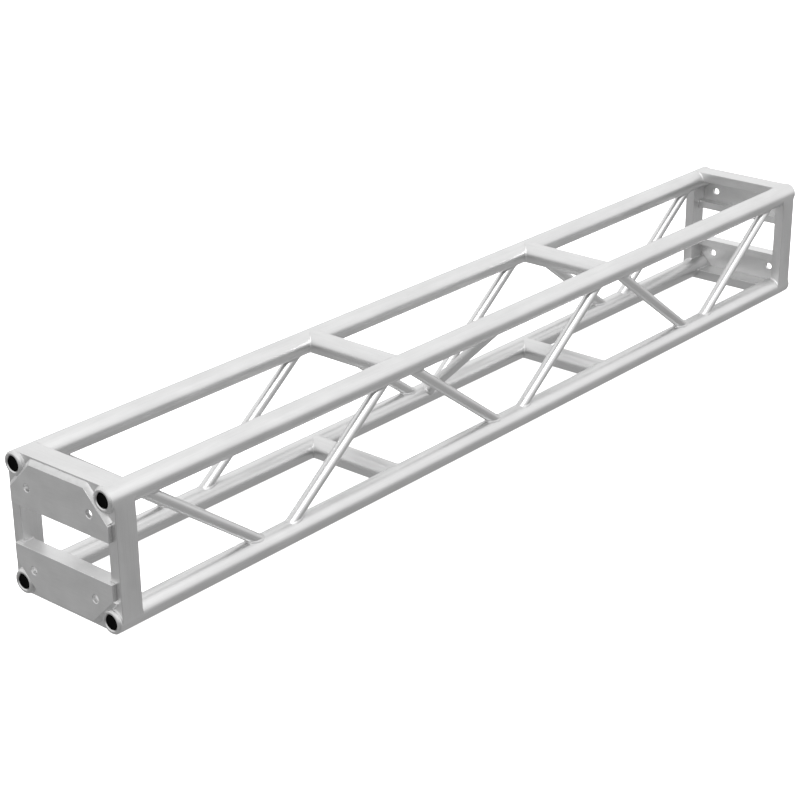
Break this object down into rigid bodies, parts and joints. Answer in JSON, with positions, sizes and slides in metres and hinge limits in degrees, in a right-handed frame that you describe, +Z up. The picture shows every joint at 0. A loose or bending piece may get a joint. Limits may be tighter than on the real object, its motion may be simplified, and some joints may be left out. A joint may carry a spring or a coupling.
{
  "type": "lighting truss section",
  "caption": "Square box truss section of welded aluminium tube, with zigzag lacing and bolting plates at both ends, for hanging stage lights or building towers.",
  "frame": {"origin": "middle of the length and width, on the level of the undersides of the bottom chords", "axes": "+X along the truss towards its right end, +Y from front to back, +Z up"},
  "size_m": [2.4384, 0.3048, 0.3048],
  "materials": {
    "aluminium_tube": "mill finish, drawn tube",
    "aluminium_box": "mill finish, extruded",
    "aluminium_plate": "mill finish, rolled and sawn",
    "machined_aluminium": "turned",
    "black_plastic": "moulded, matte"
  },
  "bodies": {
    "root": {"chord_top_front": "aluminium_tube", "chord_top_back": "aluminium_tube", "chord_bottom_front": "aluminium_tube", "chord_bottom_back": "aluminium_tube", "diagonal_front_1": "aluminium_tube", "diagonal_front_2": "aluminium_tube", "diagonal_front_3": "aluminium_tube", "diagonal_front_4": "aluminium_tube", "diagonal_front_5": "aluminium_tube", "diagonal_front_6": "aluminium_tube", "diagonal_back_1": "aluminium_tube", "diagonal_back_2": "aluminium_tube", "diagonal_back_3": "aluminium_tube", "diagonal_back_4": "aluminium_tube", "diagonal_back_5": "aluminium_tube", "diagonal_back_6": "aluminium_tube", "spreader_top_left": "aluminium_tube", "spreader_top_right": "aluminium_tube", "spreader_bottom_left": "aluminium_tube", "spreader_bottom_right": "aluminium_tube", "cross_brace": "aluminium_tube", "end_rail_left_top": "aluminium_box", "end_rail_left_bottom": "aluminium_box", "end_rail_right_top": "aluminium_box", "end_rail_right_bottom": "aluminium_box", "end_post_left_front": "aluminium_box", "end_post_left_back": "aluminium_box", "end_post_right_front": "aluminium_box", "end_post_right_back": "aluminium_box", "bolt_plate_left_top": "aluminium_plate", "bolt_plate_left_bottom": "aluminium_plate", "bolt_plate_right_top": "aluminium_plate", "bolt_plate_right_bottom": "aluminium_plate", "plate_bar_left_top": "aluminium_plate", "plate_bar_left_bottom": "aluminium_plate", "plate_bar_right_top": "aluminium_plate", "plate_bar_right_bottom": "aluminium_plate", "end_ring_left_top_front": "machined_aluminium", "end_ring_left_top_back": "machined_aluminium", "end_ring_left_bottom_front": "machined_aluminium", "end_ring_left_bottom_back": "machined_aluminium", "end_ring_right_top_front": "machined_aluminium", "end_ring_right_top_back": "machined_aluminium", "end_ring_right_bottom_front": "machined_aluminium", "end_ring_right_bottom_back": "machined_aluminium", "plug_left_top_front": "black_plastic", "plug_left_top_back": "black_plastic", "plug_left_bottom_front": "black_plastic", "plug_left_bottom_back": "black_plastic", "plug_right_top_front": "black_plastic", "plug_right_top_back": "black_plastic", "plug_right_bottom_front": "black_plastic", "plug_right_bottom_back": "black_plastic"}
  },
  "joints": []
}
